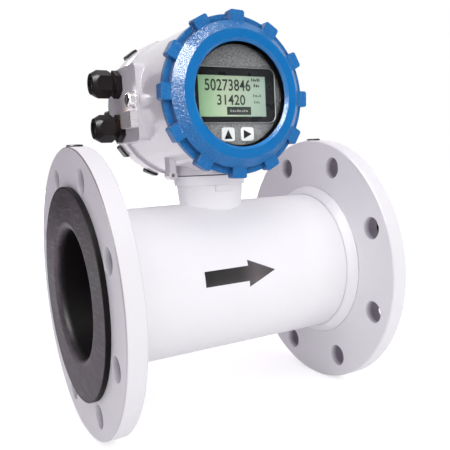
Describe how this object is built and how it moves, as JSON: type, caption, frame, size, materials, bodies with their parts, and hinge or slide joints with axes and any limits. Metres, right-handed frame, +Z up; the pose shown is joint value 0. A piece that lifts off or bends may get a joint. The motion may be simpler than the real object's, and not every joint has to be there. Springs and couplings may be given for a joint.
{
  "type": "electromagnetic flow meter",
  "caption": "Flanged electromagnetic flow meter: lined pipe with bolted flanges and a round head with lugged screw covers, display window, keys and cable glands.",
  "frame": {"origin": "on the pipe axis, half way between the two liner faces", "axes": "+X along the pipe with the flow, -Y towards the display's viewer, +Z up through the neck and head"},
  "size_m": [0.25, 0.2286, 0.3273],
  "materials": {
    "body_white": "white coat over cast aluminium or steel, semi-gloss",
    "cover_blue": "blue glossy coat with a fine hammered texture",
    "cover_dark": "black semi-gloss coat",
    "liner_grey": "dark grey moulded lining, matt",
    "stainless": "plain stainless steel",
    "chromed": "bright plated steel",
    "brass_core": "plain brass",
    "copper_winding": "taped copper winding",
    "iron_core": "oiled iron",
    "nylon_black": "black nylon",
    "seal_rubber": "black rubber",
    "glass_clear": "clear flat glass",
    "plate_grey": "dark grey fine speckle",
    "bezel_black": "black glossy frame",
    "lcd_green": "pale green display",
    "key_white": "white key cap",
    "board_green": "green circuit board",
    "part_grey": "moulded grey plastic"
  },
  "bodies": {
    "meter": {"coil_casing": "body_white", "neck": "body_white", "housing": "body_white", "inlet_flange": "body_white", "outlet_flange": "body_white", "inlet_weld": "body_white", "outlet_weld": "body_white", "liner": "liner_grey", "measuring_tube": "stainless", "neck_screws": "stainless", "front_electrode": "stainless", "rear_electrode": "stainless", "front_electrode_nut": "stainless", "rear_electrode_nut": "stainless", "display_posts": "stainless", "frame_posts": "stainless", "terminal_screws": "stainless", "earth_strap": "stainless", "earth_washer": "chromed", "earth_screw": "chromed", "earth_core": "brass_core", "upper_coil": "copper_winding", "lower_coil": "copper_winding", "upper_pole": "iron_core", "lower_pole": "iron_core", "upper_gland_body": "nylon_black", "lower_gland_body": "nylon_black", "inlet_rim_plug": "nylon_black", "outlet_rim_plug": "nylon_black", "neck_gasket": "seal_rubber", "upper_gland_seal": "seal_rubber", "lower_gland_seal": "seal_rubber", "display_plate": "plate_grey", "lcd_bezel": "bezel_black", "lcd_screen": "lcd_green", "display_board": "board_green", "main_board": "board_green", "key_switches": "part_grey", "power_module": "part_grey", "capacitors": "part_grey", "sensor_leads": "part_grey", "sensor_plug": "part_grey", "terminal_block": "part_grey", "feed_through": "part_grey", "front_electrode_sleeve": "part_grey", "rear_electrode_sleeve": "part_grey"},
    "front_seal": {"front_oring": "seal_rubber"},
    "front_lid": {"front_cover": "cover_blue", "window_glass": "glass_clear", "glass_ring": "nylon_black"},
    "rear_seal": {"rear_oring": "seal_rubber"},
    "rear_lid": {"rear_cover": "cover_dark"},
    "upper_slip": {"upper_slip_ring": "nylon_black"},
    "upper_nut": {"upper_gland_nut": "nylon_black"},
    "lower_slip": {"lower_slip_ring": "nylon_black"},
    "lower_nut": {"lower_gland_nut": "nylon_black"},
    "up_key": {"key_up": "key_white"},
    "right_key": {"key_right": "key_white"}
  },
  "joints": [
    {"name": "front_cover_travel", "type": "slide", "parent": "meter", "child": "front_seal", "axis": [0, -1, 0], "range_m": [0, 0.009]},
    {"name": "front_cover_turn", "type": "hinge", "parent": "front_seal", "child": "front_lid", "pos_m": [0, -0.05, 0.1485], "axis": [0, -1, 0], "range_deg": [0, 1080]},
    {"name": "rear_cover_travel", "type": "slide", "parent": "meter", "child": "rear_seal", "axis": [0, 1, 0], "range_m": [0, 0.009]},
    {"name": "rear_cover_turn", "type": "hinge", "parent": "rear_seal", "child": "rear_lid", "pos_m": [0, 0.069, 0.1485], "axis": [0, 1, 0], "range_deg": [0, 1080]},
    {"name": "upper_gland_nut_travel", "type": "slide", "parent": "meter", "child": "upper_slip", "axis": [-1, 0, 0], "range_m": [0, 0.003]},
    {"name": "upper_gland_nut_turn", "type": "hinge", "parent": "upper_slip", "child": "upper_nut", "pos_m": [-0.077, 0.038, 0.167], "axis": [-1, 0, 0], "range_deg": [0, 720]},
    {"name": "lower_gland_nut_travel", "type": "slide", "parent": "meter", "child": "lower_slip", "axis": [-1, 0, 0], "range_m": [0, 0.003]},
    {"name": "lower_gland_nut_turn", "type": "hinge", "parent": "lower_slip", "child": "lower_nut", "pos_m": [-0.077, 0.038, 0.13], "axis": [-1, 0, 0], "range_deg": [0, 720]},
    {"name": "up_key_press", "type": "slide", "parent": "meter", "child": "up_key", "axis": [0, 1, 0], "range_m": [0, 0.0005], "stiffness_N_per_m": 1500},
    {"name": "right_key_press", "type": "slide", "parent": "meter", "child": "right_key", "axis": [0, 1, 0], "range_m": [0, 0.0005], "stiffness_N_per_m": 1500}
  ],
  "couplings": [
    {"joint": "front_cover_travel", "follows": "front_cover_turn", "m_per_rad": 0.00047746},
    {"joint": "rear_cover_travel", "follows": "rear_cover_turn", "m_per_rad": 0.00047746},
    {"joint": "upper_gland_nut_travel", "follows": "upper_gland_nut_turn", "m_per_rad": 0.00023873},
    {"joint": "lower_gland_nut_travel", "follows": "lower_gland_nut_turn", "m_per_rad": 0.00023873}
  ]
}
